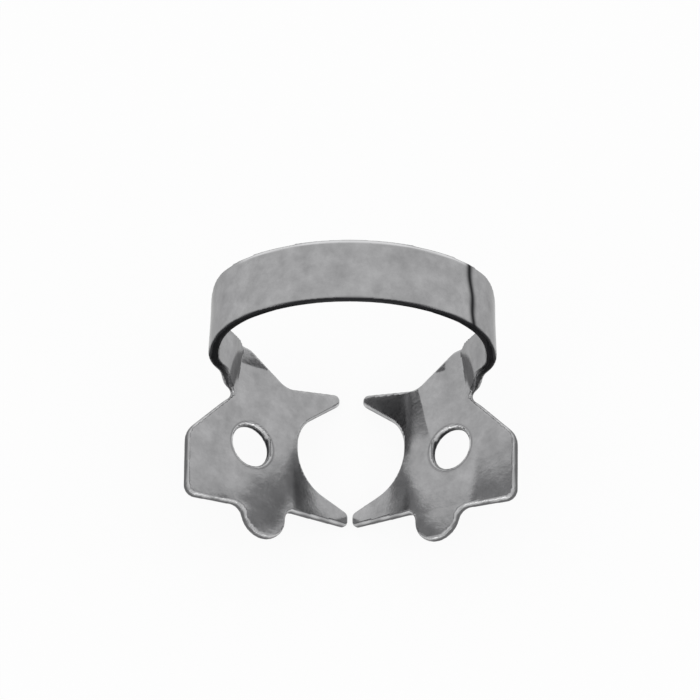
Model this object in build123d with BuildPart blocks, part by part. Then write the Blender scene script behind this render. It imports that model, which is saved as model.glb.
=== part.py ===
"""Molar rubber dam clamp, one piece of spring steel.

A strip is stamped from sheet and bent: a bow that arches over the tooth, and two jaws that slope down
to four prongs. The right half is modelled and mirrored. X runs across the clamp, Y towards the back of
the bow and Z up. The clamp is drawn with the top of its bow at the origin, and then stood on its prong tips.
"""
import os
from math import asin, atan2, cos, degrees, radians, sin

from build123d import *

# Sheet and finish
sheet = 0.72
edge_round = 0.2
edge_break = 0.15

# Bow, seen from the front: outer radii, and the slopes of its arms and of the necks above the jaws
bow_half_width = 10.5
crown_bulge = 0.9
shoulder_inset = 1.8
arm_radius = 6.0
arm_slope = 60.0
waist_radius = 4.0
neck_slope = 80.0
neck_length = 2.08
bend_radius = 0.9

# Bow, seen from the side
band_front = 4.1
band_back = 8.95
taper_start = 7.0
taper_radius = 6.0
waist_back = 7.25
waist_height = 12.4
waist_round = 3.0
neck_back = 7.9
neck_drop = 2.5
neck_round = 2.0
flare = 0.2
flare_start = 13.0
flare_end = 15.0
flare_radius = 3.0

# Jaw, seen from the front: its plate starts where the bend of the arm ends
jaw_slope = 32.5
hole_in = 0.51
prong_slope = 42.0
prong_bend_from_hole = 3.2
prong_bend_radius = 4.0

# Jaw outline, in the plane of its plate: distances in, out, to the front and to the back of the hole
hole_radius = 1.6
wing_out = 5.6
wing_front = 5.42
wing_front_inner = 4.83
wing_corner_radius = 0.8
wing_shoulder_front = 0.16
wing_shoulder_radius = 2.0
root_out = 1.2
root_back = 4.3
neck_out = 0.22
neck_radius = 0.8
tab_in = 1.25
tab_front = 5.3
tab_radius = 1.85
tab_root_radius = 0.9
prong_root_front = 4.5
prong_root_radius = 0.7
front_tip_in = 9.2
front_tip_front = 3.85
front_tip_back = 2.8
tooth_corner_in = 0.12
tooth_corner_front = 0.42
tooth_radius = 3.3
rear_tip_in = 8.27
rear_tip_front = 5.85
rear_tip_back = 6.7
rear_root_in = 3.1
rear_root_back = 5.5
rear_root_radius = 1.5
tip_radius = 0.44
overrun = 30.0

crown_radius = bow_half_width + crown_bulge
shoulder_radius = bow_half_width - shoulder_inset
upright = 90.0
crown_sweep = degrees(asin(shoulder_inset / (crown_bulge + shoulder_inset)))
shoulder_sweep = upright - crown_sweep
arm_sweep = upright - arm_slope
waist_sweep = neck_slope - arm_slope
bend_sweep = neck_slope - jaw_slope
prong_sweep = prong_slope - jaw_slope


def strip_line(depth):
    """One face of the bow and its arm in front view, from the crown down to the end of the bend."""
    crown = JernArc((0, -depth), (1, 0), crown_radius - depth, -crown_sweep)
    shoulder = JernArc(crown @ 1, crown % 1, shoulder_radius - depth, -shoulder_sweep)
    arm = JernArc(shoulder @ 1, shoulder % 1, arm_radius - depth, -arm_sweep)
    waist = JernArc(arm @ 1, arm % 1, waist_radius + depth, waist_sweep)
    neck = Line(waist @ 1, (waist @ 1) + (waist % 1) * neck_length)
    bend = JernArc(neck @ 1, neck % 1, bend_radius + sheet - depth, -bend_sweep)
    return crown @ 0, bend @ 1


def jaw_line(depth):
    """One face of the jaw in front view, from past the wing in to past the prong tips."""
    plate = Line((wing_out + overrun, -depth), (-prong_bend_from_hole, -depth))
    bend = JernArc(plate @ 1, plate % 1, prong_bend_radius - depth, prong_sweep)
    prong = Line(bend @ 1, (bend @ 1) + (bend % 1) * overrun)
    return plate @ 0, prong @ 1


# Half of the bow with one arm
with BuildPart() as strip:
    with BuildSketch(Plane.XZ):
        with BuildLine():
            outer_top, outer_end = strip_line(0)
            inner_top, bend_end = strip_line(sheet)
            Line(outer_top, inner_top)
            Line(outer_end, bend_end)
        make_face()
    extrude(amount=-overrun)
    with BuildSketch(Plane.YZ):
        with BuildLine():
            FilletPolyline(
                (band_front - flare, -overrun),
                (neck_back, -overrun),
                (neck_back, -waist_height - neck_drop),
                (waist_back, -waist_height),
                (band_back, -taper_start),
                (band_back, overrun),
                (band_front, overrun),
                (band_front, -flare_start),
                (band_front - flare, -flare_end),
                (band_front - flare, -overrun),
                radius=(0, 0, neck_round, waist_round, taper_radius, 0, 0, flare_radius, flare_radius),
            )
        make_face()
    extrude(amount=overrun, mode=Mode.INTERSECT)
    crown_cut = strip.faces().sort_by(Axis.X)[0]
    bend_cut = strip.faces().filter_by(GeomType.PLANE).sort_by(Axis.Z)[0]
    front_edges = strip.edges().filter_by_position(Axis.Y, band_front - flare - edge_round, band_front + edge_round)
    fillet(front_edges - crown_cut.edges() - bend_cut.edges(), edge_round)

outward = Vector(cos(radians(jaw_slope)), 0, sin(radians(jaw_slope)))
hole_centre = Vector(bend_end.X, 0, bend_end.Y) - outward * hole_in
jaw_face = Plane(hole_centre, x_dir=outward, z_dir=outward.cross(Vector(0, 1, 0)))
jaw_front = Plane(hole_centre, x_dir=outward, z_dir=(0, -1, 0))

# One jaw: plate, wing, tab and two prongs
with BuildPart() as jaw:
    with BuildSketch(jaw_front):
        with BuildLine():
            top_out, top_in = jaw_line(0)
            bottom_out, bottom_in = jaw_line(sheet)
            Line(top_out, bottom_out)
            Line(top_in, bottom_in)
        make_face()
    extrude(amount=overrun, both=True)
    with BuildSketch(jaw_face):
        with BuildLine():
            edge_line = FilletPolyline(
                (hole_in, neck_back),
                (neck_out, neck_back),
                (-rear_root_in, rear_root_back),
                (-rear_tip_in, rear_tip_back),
                (-rear_tip_in, rear_tip_front),
                (-tooth_corner_in, -tooth_corner_front),
                (-front_tip_in, -front_tip_back),
                (-front_tip_in, -front_tip_front),
                (-tab_in - tab_radius, -prong_root_front),
                (-tab_in - tab_radius, -tab_front),
                (-tab_in, -tab_front),
                (-tab_in, -wing_front_inner),
                (wing_out, -wing_front),
                (wing_out, -wing_shoulder_front),
                (root_out, root_back),
                (hole_in, root_back),
                radius=(
                    neck_radius, rear_root_radius, tip_radius, tip_radius, tooth_radius, tip_radius, tip_radius,
                    prong_root_radius, 0, 0, 0, wing_corner_radius, wing_shoulder_radius, 0,
                ),
            )
            Line(edge_line @ 1, edge_line @ 0)
        make_face()
        with Locations((-tab_in, -tab_front)):
            Circle(tab_radius)
        fillet(vertices().sort_by_distance((tab_radius - tab_in, -wing_front_inner))[0], tab_root_radius)
        Circle(hole_radius, mode=Mode.SUBTRACT)
    extrude(amount=overrun / 2, both=True, mode=Mode.INTERSECT)
    seam_middle = jaw_face.from_local_coords((hole_in, (root_back + neck_back) / 2, -sheet / 2))
    root_middle = jaw_face.from_local_coords(((root_out + hole_in) / 2, root_back, -sheet / 2))
    seam_cut = jaw.faces().sort_by_distance(seam_middle)[0]
    root_cut = jaw.faces().sort_by_distance(root_middle)[0]
    corners = jaw.edges().filter_by(Axis(hole_centre, jaw_face.z_dir), tolerance=2 * prong_sweep)
    across = Axis(hole_centre, outward)
    prong_bend_end = prong_bend_from_hole + prong_bend_radius
    folds = jaw.edges().filter_by(Axis.Y).filter_by_position(across, -prong_bend_end, -prong_bend_from_hole + edge_break)
    chamfer(jaw.edges() - corners - seam_cut.edges() - root_cut.edges() - folds, edge_break)

# Both halves
with BuildPart() as whole:
    add(strip.part)
    add(jaw.part)
    mirror(about=Plane.YZ)

# The clamp stands on its four prong tips. The front ones reach lower, so it leans back until all four touch.
front_foot = (front_tip_front + front_tip_back) / 2
rear_foot = (rear_tip_front + rear_tip_back) / 2
lean = degrees(atan2((front_tip_in - rear_tip_in) * sin(radians(prong_slope)), front_foot + rear_foot))

with BuildPart() as clamp:
    add(whole.part, rotation=(-lean, 0, 0))
box = clamp.part.bounding_box()
clamp.part = Pos(-box.center().X, -box.center().Y, -box.min.Z) * clamp.part
clamp.part.label = "clamp"

os.makedirs("parts", exist_ok=True)
export_step(clamp.part, "parts/clamp.step")
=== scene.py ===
"""Molar rubber dam clamp: tumbled spring steel on a white studio floor."""
import math

import bpy
import numpy as np
from mathutils import Matrix, Vector, bvhtree


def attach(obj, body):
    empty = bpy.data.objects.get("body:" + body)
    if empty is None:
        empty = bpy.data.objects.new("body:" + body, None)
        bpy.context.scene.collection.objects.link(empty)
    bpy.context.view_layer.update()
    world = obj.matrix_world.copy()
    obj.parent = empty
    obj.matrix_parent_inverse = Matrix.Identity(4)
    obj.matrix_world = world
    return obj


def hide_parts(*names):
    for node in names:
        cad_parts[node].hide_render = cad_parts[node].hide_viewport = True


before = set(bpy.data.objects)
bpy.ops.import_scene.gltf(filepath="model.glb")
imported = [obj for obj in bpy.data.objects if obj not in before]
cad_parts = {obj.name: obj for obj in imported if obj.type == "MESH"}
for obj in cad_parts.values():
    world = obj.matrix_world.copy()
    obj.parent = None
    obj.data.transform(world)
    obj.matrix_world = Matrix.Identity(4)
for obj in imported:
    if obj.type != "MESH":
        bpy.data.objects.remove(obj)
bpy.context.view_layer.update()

# Lengths are in mm unless a comment says otherwise. Out, back and up are distances from a jaw's hole: across
# its plate, towards the back of the clamp, and square to the plate. A pair gives where something starts and
# where it is full.
MM = 0.001

# The clamp as its solid has it: places are measured from bow_top, before it leans back
hole_radius = 1.6
hole_out = 7.318
hole_height = -16.493
jaw_slope = math.radians(32.5)
neck_back = 7.9
band_front = 4.1
band_back = 8.95

# How the clamp leans back on its prong tips, and the point that it is drawn from, in metres: in line with the
# holes, in the middle, and level with the top of the bow
lean = math.radians(3.7088)
lean_back = Matrix.Rotation(-lean, 3, "X")
bow_top = Vector((0, -0.3268, 22.5016)) * MM

# Mesh of the finished sheet, how many times each step of the finish goes over it, and how far a point moves
# towards its neighbours each time. The angles between normals tell an edge from a face.
mesh_grain = 0.117
tumbling_passes = 3
foot_passes = 120
polish_passes = 80
pass_strength = 0.5
no_weight = 1e-6
least_weight = 1e-4
edge_angle = math.radians(9)
face_angle = math.radians(3)

# Fold between arm and jaw: how far its front end is moved out, and the part of the sheet that moves
fold_skew = 0.6
fold_front = 3.9
fold_fade = 0.6
fold_out = (-0.8, 0.5)
fold_up = (0.5, 6)
fold_back = (4.3, 5)
fold_above = (-0.2, 0.1)

# Foot of the arm, where the front end of the fold is worn into the jaw
foot_out = 1.3
foot_up = 0.4
foot_reach_out = 1.0
foot_reach_back = 0.8
foot_reach_up = 0.9

# A dark line across the right shoulder of the bow: how far right it is, its waviness and its lower end.
# A facing is how far the surface looks up, from 0 to 1.
mark_rear = 8.46
mark_front = 8.87
mark_half_width = 0.21
mark_wave = 0.05
mark_wave_rate = 2.2
mark_height = (-7, -6)
mark_facing = (0.1, 0.3)

# How far the normals of the jaws turn towards the back, in radians, and where. The crescent is the part of
# the right jaw that runs along the tooth.
left_twist = math.radians(2.8)
right_twist = math.radians(7)
left_wing_twist = math.radians(4)
right_wing_twist = math.radians(-5)
left_wing = (-0.8, 1.6)
right_wing = (1.4, 2.6)
plate_up = (0.0, 0.6)
neck_fade = (3.0, 6.5)
tab_twist = math.radians(2)
tab_root = (4.5, 5.2)
tab_in = 1.2
tab_side = (2.4, 3.0)
crescent_twist = 0.02
crescent_twist_per_mm = -0.045
crescent_slant = 0.25
crescent_line = (1.2, 1.5)
crescent_front = (-1.0, 2.0)
prong_twist = -0.1
prong_bend = (3.2, 4.4)
neck_curl = math.radians(15)
curl_back = (6.1, 6.6)
curl_up = (0.2, 0.8)
right_curl_out = (-0.6, 0)

# Painted edge shade and rim highlights: how far it is through the metal there, and where the jaws end
ray_start = 0.02
painted_shade_through = (0.95, 1.15)
painted_highlight_through = (0.80, 0.86)
jaw_top = (1.5, 3.0)
jaw_edge_less_shade = 0.15
beyond_wall = (0.3, 0.5)

# Painted highlight on the rim round each hole, in a fine ring of painted shade. Their starts and ends
# are distances from its wall.
top_facing = (0.3, 0.6)
rim_end = (0.15, 0.27)
rim_shade = 0.3
rim_light_out = 0.8
rim_light_back = 0.6
rim_light = (-0.6, 0.3)
ring_start = (0.17, 0.27)
ring_end = (0.27, 0.39)
ring_dark = 0.5

# Painted lines along the edges of the bow, a highlight and shade. Their starts and ends are distances
# from its rear or front edge.
crown_facing = (0.55, 0.75)
crown_height = (-4.5, -3)
bright_line_start = (0.06, 0.12)
bright_line_end = (0.2, 0.32)
rear_line_end = (0.02, 0.08)
rear_line_dark = 0.6
front_line_end = (0.1, 0.2)

# Steel: the width and depth of its patches and pits, and the range of its roughness
patch_width = 5 / 3
patch_depth = 0.03
patch_contrast = (0.3, 0.7)
pit_width = 0.2
pit_depth = 0.012
roughness_low = 0.10
roughness_high = 0.20

# Studio, in metres and watts. Azimuth 0 is in front of the clamp, and 90 is to its right, in degrees.
floor_size = 8
card_glow = 0.9
room_strength = 0.92
lamp_distance = 0.6
lamp_size = (0.4, 0.08)
lamps = {
    "front_strip": {"azimuth": -5, "elevation": 24, "power": 0.15},
    "left_strip": {"azimuth": -50, "elevation": 22, "power": 0.17},
    "right_strip": {"azimuth": 45, "elevation": 22, "power": 0.14},
}

# Camera. Its distance and the nearest that it sees are in metres, and the picture is in pixels.
view_elevation = math.radians(67.76)
view_azimuth = math.radians(-0.5)
view_roll = math.radians(1.25)
view_distance = 0.88
nearest_view = 0.01
picture = 700
px_per_mm = 13.6
clamp_middle_px = (352.0, 402.5)
middle_below_top = 9.0

# Sockets of a Mix node that mixes colours
colour_a, colour_b, mixed_colour = 6, 7, 2


def linear(hex_code):
    """Turns an sRGB hex colour such as "8A8A8C" to the linear values that a shader takes."""
    parts = [int(hex_code[i:i + 2], 16) / 255 for i in (0, 2, 4)]
    return [p / 12.92 if p <= 0.04045 else ((p + 0.055) / 1.055) ** 2.4 for p in parts] + [1.0]


def add(tree, kind, inputs=None, **settings):
    """Adds a node. A setting is a property of it. An input is a value, or the socket that feeds it."""
    made = tree.nodes.new(kind)
    for key, value in settings.items():
        setattr(made, key, value)
    for key, value in (inputs or {}).items():
        if isinstance(value, bpy.types.NodeSocket):
            tree.links.new(value, made.inputs[key])
        else:
            made.inputs[key].default_value = value
    return made


def new_material(name):
    material = bpy.data.materials.new(name)
    material.use_nodes = True
    material.node_tree.nodes.clear()
    return material


def tumbled_spring_steel():
    """Rolled spring steel, tumbled bright: a soft grey mirror with cloudy patches. Its cut edges have painted
    shade, with fine painted highlights along their rims."""
    material = new_material("tumbled_spring_steel")
    tree = material.node_tree
    place = add(tree, "ShaderNodeTexCoord").outputs["Object"]

    # The stones leave cloudy patches, and pits that are drawn coarser than the real ones, so that they show
    patches = add(tree, "ShaderNodeTexNoise", {
        "Vector": place, "Scale": 1 / (patch_width * MM), "Detail": 6.0, "Roughness": 0.68,
    }).outputs["Fac"]
    pits = add(tree, "ShaderNodeTexNoise", {
        "Vector": place, "Scale": 1 / (pit_width * MM), "Detail": 3.0, "Roughness": 0.7,
    }).outputs["Fac"]
    cloud = add(tree, "ShaderNodeMapRange", {
        "Value": patches, "From Min": patch_contrast[0], "From Max": patch_contrast[1],
    })
    colour = add(tree, "ShaderNodeMix", {
        "Factor": cloud.outputs[0], colour_a: linear("959596"), colour_b: linear("B2B2B3"),
    }, data_type="RGBA")

    # Each later colour lies over the ones before it, where the sheet has its mark
    # Painted highlight on the rims, painted shade on the cut edges, then a dark line on the bow
    for mark, hex_code in (("painted_highlight_rim", "E2E2E3"), ("painted_shade_edge", "262628"), ("dark_line_on_bow", "1C1C1E")):
        where = add(tree, "ShaderNodeAttribute", attribute_name=mark)
        colour = add(tree, "ShaderNodeMix", {
            "Factor": where.outputs["Fac"],
            colour_a: colour.outputs[mixed_colour],
            colour_b: linear(hex_code),
        }, data_type="RGBA")

    roughness = add(tree, "ShaderNodeMapRange", {
        "Value": pits, "To Min": roughness_low, "To Max": roughness_high,
    })
    patched = add(tree, "ShaderNodeBump", {"Height": patches, "Strength": 0.5, "Distance": patch_depth * MM})
    pitted = add(tree, "ShaderNodeBump", {
        "Height": pits, "Strength": 0.2, "Distance": pit_depth * MM, "Normal": patched.outputs[0],
    })
    shader = add(tree, "ShaderNodeBsdfPrincipled", {
        "Base Color": colour.outputs[mixed_colour], "Metallic": 1.0, "Roughness": roughness.outputs[0],
        "Specular Tint": linear("D0D0D0"), "Normal": pitted.outputs[0],
    })
    add(tree, "ShaderNodeOutputMaterial", {"Surface": shader.outputs[0]})
    return material


def neighbour_mean(pairs, values, weights=None):
    """The mean of each point's neighbours on the mesh, for one column or several."""
    ends = np.concatenate([pairs[:, 0], pairs[:, 1]])
    others = np.concatenate([pairs[:, 1], pairs[:, 0]])
    share = np.ones(len(ends)) if weights is None else np.concatenate([weights, weights])
    total = np.bincount(ends, share, len(values))
    columns = values.reshape(len(values), -1)
    sums = np.stack([np.bincount(ends, share * column[others], len(values)) for column in columns.T], 1)
    mean = sums / np.maximum(total, no_weight)[:, None]
    alone = total < no_weight
    mean[alone] = columns[alone]
    return mean.reshape(values.shape)


def ramp(value, low, high):
    """0 below low, 1 above high, and smooth between them."""
    t = np.clip((value - low) / (high - low), 0, 1)
    return t * t * (3 - 2 * t)


def upright_place(points):
    """Where each point is from bow_top, in mm, before the clamp leans back."""
    return (points - np.array(bow_top) / MM) @ np.array(lean_back)


def jaw_place(points):
    """How far each point, in mm, is out and back from its jaw's hole, and up from the top of the plate."""
    upright = upright_place(points)
    outward = np.abs(upright[:, 0]) - hole_out
    upward = upright[:, 2] - hole_height
    c, s = math.cos(jaw_slope), math.sin(jaw_slope)
    return outward * c + upward * s, upright[:, 1], upward * c - outward * s


def fine_copy(blank):
    """A new piece: the blank as a fine, even mesh, in mm."""
    mesh = blank.data.copy()
    mesh.transform(Matrix.Scale(1 / MM, 4))
    piece = bpy.data.objects.new("clamp_sheet", mesh)
    bpy.context.scene.collection.objects.link(piece)
    remesh = piece.modifiers.new("grain", "REMESH")
    remesh.mode = "VOXEL"
    remesh.voxel_size = mesh_grain
    fine = bpy.data.meshes.new_from_object(piece.evaluated_get(bpy.context.evaluated_depsgraph_get()))
    piece.modifiers.clear()
    piece.data = fine
    return piece


def read_rows(items, name, width, kind=float):
    """One property of the mesh's points or edges, as rows of numbers."""
    rows = np.empty(len(items) * width, kind)
    items.foreach_get(name, rows)
    return rows.reshape(-1, width)


def skew_fold(place):
    """Moves the front end of the fold between arm and jaw out, along the plate."""
    out, back, up = jaw_place(place)
    askew = fold_skew * ramp(neck_back - back, 0, neck_back - fold_front)
    askew *= ramp(back, fold_front - fold_fade, fold_front)
    askew *= ramp(out, *fold_out) * (1 - ramp(up, *fold_up)) * ramp(up + ramp(back, *fold_back), *fold_above)
    place[:, 0] += askew * np.sign(place[:, 0]) * math.cos(jaw_slope)
    place[:, 2] += askew * math.sin(jaw_slope)


def mark_line(place):
    """1 along the dark line on the bow, and 0 away from it."""
    right, back, height = upright_place(place).T
    line = mark_rear + (mark_front - mark_rear) * (band_back - back) / (band_back - band_front)
    line += mark_wave * np.sin(mark_wave_rate * back)
    return np.exp(-((right - line) / mark_half_width) ** 2) * ramp(height, *mark_height) * (back > band_front)


def wear(place, pairs):
    """Wears all edges, as tumbling does, and the foot of each arm into its jaw. Returns 1 for points at a
    foot, and 0 for points away from it."""
    for _ in range(tumbling_passes):
        place += pass_strength * (neighbour_mean(pairs, place) - place)
    out, back, up = jaw_place(place)
    foot = np.exp(-((out - foot_out) / foot_reach_out) ** 2 - ((back - fold_front) / foot_reach_back) ** 2
                  - ((up - foot_up) / foot_reach_up) ** 2)
    for _ in range(foot_passes):
        place += pass_strength * foot[:, None] * (neighbour_mean(pairs, place) - place)
    return foot


def polished(normal, pairs):
    """The normals, evened out over the smooth rolled faces but not across the edges."""
    for _ in range(polish_passes):
        likeness = (normal[pairs[:, 0]] * normal[pairs[:, 1]]).sum(1)
        weights = ramp(likeness, math.cos(edge_angle), math.cos(face_angle)) + least_weight
        normal = neighbour_mean(pairs, normal, weights)
        normal /= np.linalg.norm(normal, axis=1)[:, None]
    return normal


def turned(normal, place):
    """The normals as the light sees them. The real jaws aren't quite flat, and their mirrored light shows it.
    These are flat, so only their normals turn."""
    out, back, up = jaw_place(place)
    right = place[:, 0] > 0
    on_plate = 1 - ramp(up, *plate_up)
    before_neck = on_plate * (1 - ramp(back, *neck_fade))
    right_jaw = right_twist + right_wing_twist * ramp(out, *right_wing)
    left_jaw = left_twist + left_wing_twist * ramp(out, *left_wing)
    twist = np.where(right, right_jaw, left_jaw) * before_neck
    twist += tab_twist * ramp(-back, *tab_root) * (1 - ramp(np.abs(out + tab_in), *tab_side))

    # The rear of the crescent turns the other way, and its prong further still
    crescent = ramp(-out - crescent_slant * back, *crescent_line) * ramp(back, *crescent_front) * on_plate
    curve = crescent_twist + crescent_twist_per_mm * back + prong_twist * ramp(-out, *prong_bend)
    twist = np.where(right, twist * (1 - crescent) + curve * crescent, twist)

    # The rear of each neck looks curled up
    curl = neck_curl * ramp(back, *curl_back) * (1 - ramp(up, *curl_up))
    curl *= np.where(right, 1 - ramp(out, *right_curl_out), 1)
    seen = normal.copy()
    seen[:, 1] += twist - curl
    return seen / np.linalg.norm(seen, axis=1)[:, None]


def way_through(mesh, place, normal):
    """How far it is through the metal from each point, square to the surface. At an edge it is further."""
    faces = [tuple(face.vertices) for face in mesh.polygons]
    tree = bvhtree.BVHTree.FromPolygons((place * MM).tolist(), faces)
    through = np.empty(len(place))
    for i in range(len(place)):
        inward = Vector(-normal[i])
        distance = tree.ray_cast(Vector(place[i] * MM) + inward * ray_start * MM, inward)[3]
        through[i] = (distance or 0) / MM
    return through


def edge_finish(place, pairs, normal, through, foot):
    """How far each point is darkened by painted shade, and how far it is brightened by a painted highlight.
    """
    out, back, up = jaw_place(place)
    on_jaw = 1 - ramp(up, *jaw_top)
    # Painted shade on the cut edge faces, and painted highlights along the rims of the jaws
    painted_shade = neighbour_mean(pairs, ramp(through, *painted_shade_through))
    painted_highlight = neighbour_mean(pairs, ramp(through, *painted_highlight_through)) * on_jaw * (1 - foot)
    from_hole = np.hypot(out, back) - hole_radius
    painted_shade *= 1 - jaw_edge_less_shade * on_jaw * ramp(from_hole, *beyond_wall)

    # Each hole has a painted highlight on its rim, brightest on its outer rear side, in a fine ring of
    # painted shade
    on_top = ramp(normal[:, 2], *top_facing) * on_jaw
    towards_light = (rim_light_out * out + rim_light_back * back) / (from_hole + hole_radius)
    lit = rim_shade + (1 - rim_shade) * ramp(towards_light, *rim_light)
    painted_highlight = np.maximum(painted_highlight, lit * on_top * (1 - ramp(from_hole, *rim_end)))
    ring = ramp(from_hole, *ring_start) * (1 - ramp(from_hole, *ring_end))
    painted_shade = np.maximum(painted_shade, ring_dark * on_top * ring)

    # The bow has a painted highlight line inside a painted shade line at its rear edge, and painted shade
    # along its front edge
    upright = upright_place(place)
    on_crown = ramp(normal[:, 2], *crown_facing) * ramp(upright[:, 2], *crown_height)
    from_rear = band_back - upright[:, 1]
    from_front = upright[:, 1] - band_front
    bright_line = ramp(from_rear, *bright_line_start) * (1 - ramp(from_rear, *bright_line_end))
    painted_highlight = np.maximum(painted_highlight, on_crown * bright_line)
    painted_shade = np.maximum(painted_shade, rear_line_dark * on_crown * (1 - ramp(from_rear, *rear_line_end)))
    painted_shade = np.maximum(painted_shade, (1 - on_jaw) * (1 - ramp(from_front, *front_line_end)))
    return painted_shade, painted_highlight


def finished_sheet(blank):
    """The same sheet after tumbling, its edges worn round, with its painted shade, highlights and dark line
    marked.
    """
    piece = fine_copy(blank)
    mesh = piece.data
    place = read_rows(mesh.vertices, "co", 3)
    pairs = read_rows(mesh.edges, "vertices", 2, int)
    skew_fold(place)
    mark = mark_line(place)
    foot = wear(place, pairs)
    mesh.vertices.foreach_set("co", (place * MM).ravel())
    mesh.update()
    mesh.polygons.foreach_set("use_smooth", [True] * len(mesh.polygons))

    normal = polished(read_rows(mesh.vertices, "normal", 3), pairs)
    painted_shade, painted_highlight = edge_finish(place, pairs, normal, way_through(mesh, place, normal), foot)
    mark *= ramp(normal[:, 2], *mark_facing)
    # The painted shade, the painted highlights and the dark line on the bow, kept on the points
    for name, values in (("painted_shade_edge", painted_shade), ("painted_highlight_rim", painted_highlight), ("dark_line_on_bow", mark)):
        mesh.attributes.new(name, "FLOAT", "POINT").data.foreach_set("value", values)
    mesh.normals_split_custom_set_from_vertices(turned(normal, place).tolist())
    return piece


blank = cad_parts["clamp"]
clamp_sheet = finished_sheet(blank)
clamp_sheet.data.materials.clear()
clamp_sheet.data.materials.append(tumbled_spring_steel())
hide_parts("clamp")
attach(clamp_sheet, "root")


def white_card():
    """Matt white card. The camera and the metal see it almost pure white, with a faint soft shadow."""
    material = new_material("white_card")
    tree = material.node_tree
    path = add(tree, "ShaderNodeLightPath").outputs
    mirrored = add(tree, "ShaderNodeMath", {
        0: path["Is Glossy Ray"], 1: path["Is Transmission Ray"],
    }, operation="MAXIMUM")
    seen = add(tree, "ShaderNodeMath", {
        0: path["Is Camera Ray"], 1: mirrored.outputs[0],
    }, operation="MAXIMUM")
    share = add(tree, "ShaderNodeMath", {0: seen.outputs[0], 1: card_glow}, operation="MULTIPLY")
    card = add(tree, "ShaderNodeBsdfDiffuse", {"Color": linear("F2F2F2")})
    glow = add(tree, "ShaderNodeEmission", {"Color": linear("FFFFFF"), "Strength": 1.0})
    mix = add(tree, "ShaderNodeMixShader", {0: share.outputs[0], 1: card.outputs[0], 2: glow.outputs[0]})
    add(tree, "ShaderNodeOutputMaterial", {"Surface": mix.outputs[0]})
    return material


bpy.ops.mesh.primitive_plane_add(size=floor_size)
floor = bpy.context.object
floor.name = "floor"
floor.data.materials.append(white_card())


def soft_lamp(name, azimuth, elevation, power):
    """A long softbox that faces the clamp."""
    a, e = math.radians(azimuth), math.radians(elevation)
    place = Vector((math.sin(a) * math.cos(e), -math.cos(a) * math.cos(e), math.sin(e))) * lamp_distance
    data = bpy.data.lights.new(name, "AREA")
    data.shape = "RECTANGLE"
    data.size, data.size_y = lamp_size
    data.energy = power
    lamp = bpy.data.objects.new(name, data)
    bpy.context.scene.collection.objects.link(lamp)
    lamp.location = place
    lamp.rotation_euler = (-place).to_track_quat("-Z", "Y").to_euler()


for name, settings in lamps.items():
    soft_lamp(name, **settings)

# Room: even white walls, which light the clamp from all sides and show in the metal
room = bpy.data.worlds.new("studio_room")
bpy.context.scene.world = room
room.use_nodes = True
room.node_tree.nodes.clear()
walls = add(room.node_tree, "ShaderNodeBackground", {"Color": linear("FFFFFF"), "Strength": room_strength})
add(room.node_tree, "ShaderNodeOutputWorld", {"Surface": walls.outputs[0]})

# Camera: a long lens, high in front
bpy.context.view_layer.update()
turn = (Matrix.Rotation(view_azimuth, 3, "Z") @ Matrix.Rotation(math.pi / 2 - view_elevation, 3, "X")
        @ Matrix.Rotation(view_roll, 3, "Z"))
middle = bow_top + lean_back @ Vector((0, 0, -middle_below_top * MM))
camera_data = bpy.data.cameras.new("camera")
camera_data.lens = camera_data.sensor_width * view_distance / (picture / px_per_mm * MM)
camera_data.clip_start = nearest_view
camera = bpy.data.objects.new("camera", camera_data)
bpy.context.scene.collection.objects.link(camera)
right_of_middle = (picture / 2 - clamp_middle_px[0]) / px_per_mm * MM
above_middle = (clamp_middle_px[1] - picture / 2) / px_per_mm * MM
aim = middle + turn @ Vector((right_of_middle, above_middle, 0))
camera.matrix_world = Matrix.Translation(aim + turn @ Vector((0, 0, view_distance))) @ turn.to_4x4()
bpy.context.scene.camera = camera
bpy.context.scene.view_settings.view_transform = "Standard"
